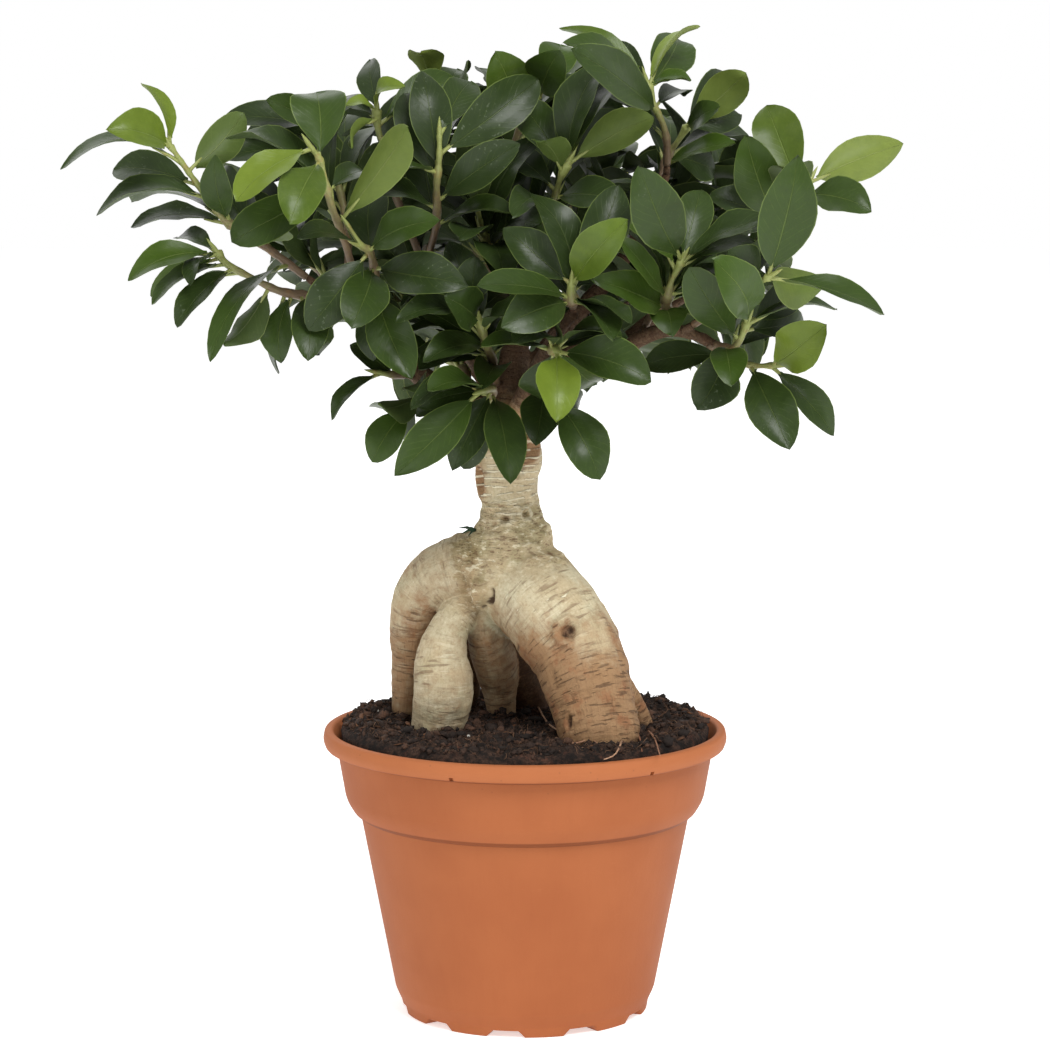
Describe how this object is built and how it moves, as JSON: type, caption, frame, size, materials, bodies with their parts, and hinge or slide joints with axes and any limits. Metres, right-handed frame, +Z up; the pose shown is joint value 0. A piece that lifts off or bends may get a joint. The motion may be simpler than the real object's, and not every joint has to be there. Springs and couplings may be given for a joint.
{
  "type": "potted bonsai tree",
  "caption": "Small ficus tree with swollen aerial roots and a dense leafy crown, standing in soil in a round tapered plastic nursery pot.",
  "frame": {"origin": "the middle of the pot's underside, on the pot's axis and level with its foot ring", "axes": "+Z up along the pot's axis, -Y towards the front that the picture shows, +X to the right in that view"},
  "size_m": [0.239, 0.162, 0.292],
  "materials": {
    "pot": "matte moulded plastic, terracotta coloured",
    "soil": "dark damp peat with fibres",
    "bark": "smooth grey-brown living bark",
    "leaf": "glossy dark green leaf on green and brown twigs"
  },
  "bodies": {
    "root": {"pot": "pot", "soil": "soil", "tree": "bark", "spray_left_high": "leaf", "spray_left_low": "leaf", "spray_left_front": "leaf", "spray_left_behind": "leaf", "spray_left_inner": "leaf", "spray_crown_left": "leaf", "spray_crown_left_side": "leaf", "spray_crown_left_back": "leaf", "spray_crown_mid": "leaf", "spray_crown_front": "leaf", "spray_top_right": "leaf", "spray_top_right_side": "leaf", "spray_right_inner": "leaf", "spray_right_low": "leaf", "spray_right_low_out": "leaf", "spray_right_high": "leaf", "spray_right_mid": "leaf", "spray_front_mid": "leaf", "spray_front_low": "leaf", "spray_front_drop": "leaf", "spray_front_left": "leaf", "spray_front_hang": "leaf", "spray_low_left": "leaf", "spray_low_left_thin": "leaf", "spray_back_left_tip": "leaf", "spray_back_left_high": "leaf", "spray_back_left_mid": "leaf", "spray_back_left_deep": "leaf", "spray_back_left_low": "leaf", "spray_back_right_tip": "leaf", "spray_back_right_deep": "leaf", "spray_back_right_mid": "leaf", "spray_back_right_low": "leaf", "spray_back_top": "leaf", "spray_back_right_of": "leaf", "spray_back_left_of": "leaf", "spray_back_mid": "leaf", "spray_back_low": "leaf", "spray_top_back": "leaf", "spray_inner_left": "leaf", "spray_inner_right": "leaf", "spray_left_up_back": "leaf", "spray_left_mid_back": "leaf", "spray_left_tip_back": "leaf", "spray_right_up_back": "leaf", "spray_right_mid_back": "leaf", "spray_right_far_back": "leaf", "spray_inner_front_left": "leaf", "spray_low_back_left": "leaf", "spray_low_back_right": "leaf"}
  },
  "joints": []
}
